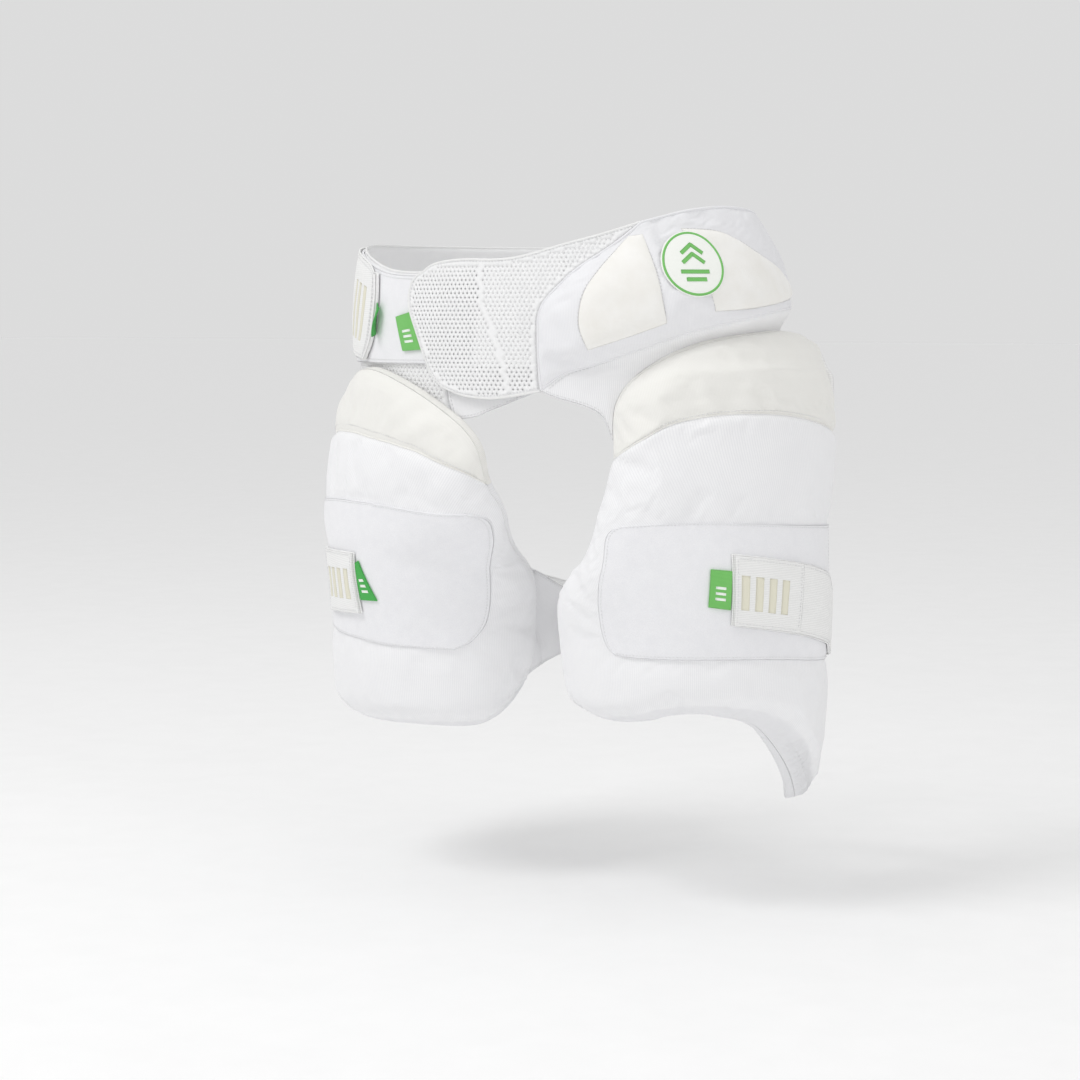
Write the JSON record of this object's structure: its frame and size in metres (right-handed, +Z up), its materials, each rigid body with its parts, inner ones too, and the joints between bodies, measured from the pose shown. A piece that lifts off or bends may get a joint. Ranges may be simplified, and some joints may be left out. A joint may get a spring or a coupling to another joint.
{
  "type": "cricket thigh guard",
  "caption": "Wearable cricket thigh guard set: wide waist belt with a padded hip, thick padded guards for both thighs, and elastic straps round the waist and legs.",
  "frame": {"origin": "centre of the waist opening, at the middle of the belt's height in front", "axes": "+Z up, -Y the wearer's front, +X the wearer's left"},
  "size_m": [0.4854, 0.3004, 0.4954],
  "materials": {
    "white_knit": "matte smooth knit over foam",
    "white_mesh": "matte perforated knit",
    "loop_pile": "matte brushed loop",
    "stretch_knit": "fine satin stretch knit",
    "cream_foam": "matte moulded face",
    "cream_stretch": "fine matte stretch knit",
    "strap_web": "flat elastic webbing",
    "binding": "folded ribbon",
    "green_ribbon": "satin ribbon",
    "badge_print": "smooth moulded badge with green print"
  },
  "bodies": {
    "root": {"belt_mesh_right": "white_mesh", "belt_loop_face_right": "loop_pile", "front_gusset": "white_knit", "front_wing": "white_mesh", "wing_tab": "green_ribbon", "hip_pad": "stretch_knit", "hip_segment_front": "cream_foam", "hip_segment_rear": "cream_foam", "hip_badge": "badge_print", "hip_bridge": "white_knit", "belt_back": "white_knit", "waist_strap": "strap_web", "waist_strap_binding": "binding", "waist_tab": "green_ribbon", "left_pad_cap": "cream_stretch", "left_pad": "white_knit", "left_loop_face": "loop_pile", "left_strap": "strap_web", "left_strap_patch": "strap_web", "left_strap_tab": "green_ribbon", "left_wrap": "white_knit", "right_pad_cap": "cream_stretch", "right_pad": "white_knit", "right_loop_face": "loop_pile", "right_strap": "strap_web", "right_strap_patch": "strap_web", "right_strap_tab": "green_ribbon", "right_wrap": "white_knit", "left_corner_loop": "strap_web"}
  },
  "joints": []
}
